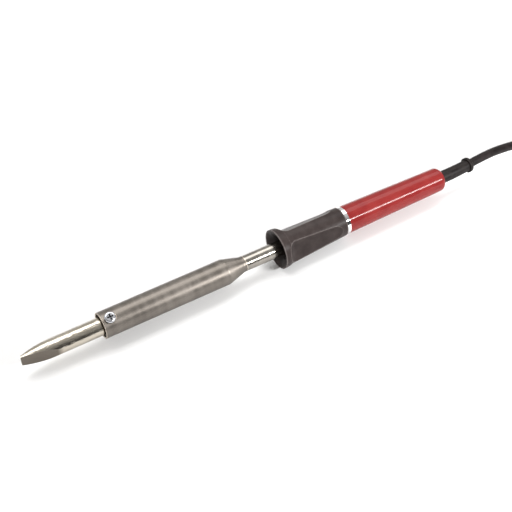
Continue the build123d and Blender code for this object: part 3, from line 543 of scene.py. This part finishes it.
relief_rubber = finish(
    "relief_rubber", dark=(0.009, 0.007, 0.007), light=(0.020, 0.016, 0.015),
    patch_scale=260, gloss=(0.40, 0.55), grain_scale=2200, grain_depth=0.00005,
    wear_and_highlight=(0.034, 0.028, 0.027), Specular_IOR_Level=0.12,
)
dress(relief_rubber, "strain_relief")

# ---------------------------------------------------------------- mains plug
# Plug moulded on the cord in black plastic, round with two flat sides. It has bright round pins and sprung
# earth clips.

plug_black = finish(
    "plug_black", dark=(0.016, 0.015, 0.015), light=(0.034, 0.031, 0.030),
    patch_scale=120, gloss=(0.30, 0.45), grain_scale=1500, grain_depth=0.00005,
    wear_and_highlight=(0.07, 0.065, 0.062),
)
dress(plug_black, "plug_body", "plug_relief")
pin_nickel = finish(
    "pin_nickel", dark=(0.62, 0.60, 0.55), light=(0.78, 0.76, 0.71),
    patch_scale=300, gloss=(0.12, 0.26), grain_scale=2500, grain_depth=0.00001,
    wear_and_highlight=(0.86, 0.84, 0.80), Metallic=1.0,
)
dress(pin_nickel, "plug_pins", "plug_earth_clips")

# ---------------------------------------------------------------- heater
# Resistance ribbon folded on a mica tube round the steel socket of the tip, with mica outside and a ceramic
# disc behind. A steel bush in the barrel's mouth takes the tip's screw.

plain_steel = finish(
    "plain_steel", dark=(0.40, 0.39, 0.37), light=(0.55, 0.54, 0.52),
    patch_scale=150, gloss=(0.28, 0.42), grain_scale=1800, grain_depth=0.00002,
    wear_and_highlight=(0.68, 0.67, 0.65), Metallic=1.0,
)
dress(plain_steel, "front_bush", "socket_tube")
mica = finish(
    "mica", dark=(0.30, 0.23, 0.13), light=(0.55, 0.46, 0.30),
    patch_scale=350, gloss=(0.20, 0.40), grain_scale=1200, grain_depth=0.00003, stretch=(1, 0.4, 0.4),
)
dress(mica, "inner_mica", "outer_mica")
nichrome = finish(
    "nichrome", dark=(0.16, 0.14, 0.13), light=(0.30, 0.27, 0.25),
    patch_scale=400, gloss=(0.35, 0.55), grain_scale=2200, grain_depth=0.00002,
    Metallic=1.0,
)
dress(nichrome, "heater_winding")
ceramic_white = finish(
    "ceramic_white", dark=(0.62, 0.59, 0.52), light=(0.74, 0.71, 0.64),
    patch_scale=160, gloss=(0.55, 0.75), grain_scale=900, grain_depth=0.00008,
    wear_and_highlight=(0.50, 0.46, 0.40),
)
dress(ceramic_white, "rear_spacer")

# ---------------------------------------------------------------- wiring
# Two leads in glass braid come from the heater and meet the cord's brown cores in brass sleeves, held in a
# ceramic block by small screws. The green and yellow earth core is crimped in a plated ring tag.

glass_sleeving = finish(
    "glass_sleeving", dark=(0.58, 0.56, 0.50), light=(0.74, 0.72, 0.66),
    patch_scale=1800, gloss=(0.60, 0.80), grain_scale=4000, grain_depth=0.00010,
)
weave_over(glass_sleeving, thread_scale=900, depth=0.00010)
dress(glass_sleeving, "heater_leads")
brass = finish(
    "brass", dark=(0.52, 0.36, 0.12), light=(0.70, 0.52, 0.20),
    patch_scale=200, gloss=(0.22, 0.36), grain_scale=1800, grain_depth=0.00002,
    wear_and_highlight=(0.80, 0.64, 0.30), Metallic=1.0,
)
dress(brass, "terminal_sleeves")
dress(ceramic_white, "terminal_block")
dress(screw_steel, "terminal_screws")
core_insulation = finish(
    "core_insulation", dark=(0.10, 0.045, 0.02), light=(0.14, 0.065, 0.03),
    patch_scale=300, gloss=(0.35, 0.50), grain_scale=2500, grain_depth=0.00002,
)
dress(core_insulation, "cord_cores")
earth_insulation = finish(
    "earth_insulation", dark=(0.10, 0.30, 0.04), light=(0.42, 0.45, 0.03),
    patch_scale=160, gloss=(0.35, 0.50), grain_scale=2500, grain_depth=0.00002,
)
dress(earth_insulation, "earth_core")
dress(pin_nickel, "earth_tag")

# ---------------------------------------------------------------- fastenings
# A steel collar on the neck tube is held in the grip by a brass nut. Two nylon halves, drawn together by
# screws, clamp the cord behind the strain relief.

dress(plain_steel, "neck_collar")
dress(brass, "retaining_nut")
nylon = finish(
    "nylon", dark=(0.55, 0.53, 0.48), light=(0.66, 0.64, 0.59),
    patch_scale=200, gloss=(0.45, 0.60), grain_scale=1500, grain_depth=0.00004,
    wear_and_highlight=(0.72, 0.70, 0.66),
)
dress(nylon, "clamp_half_upper", "clamp_half_lower")
dress(screw_steel, "clamp_screws")
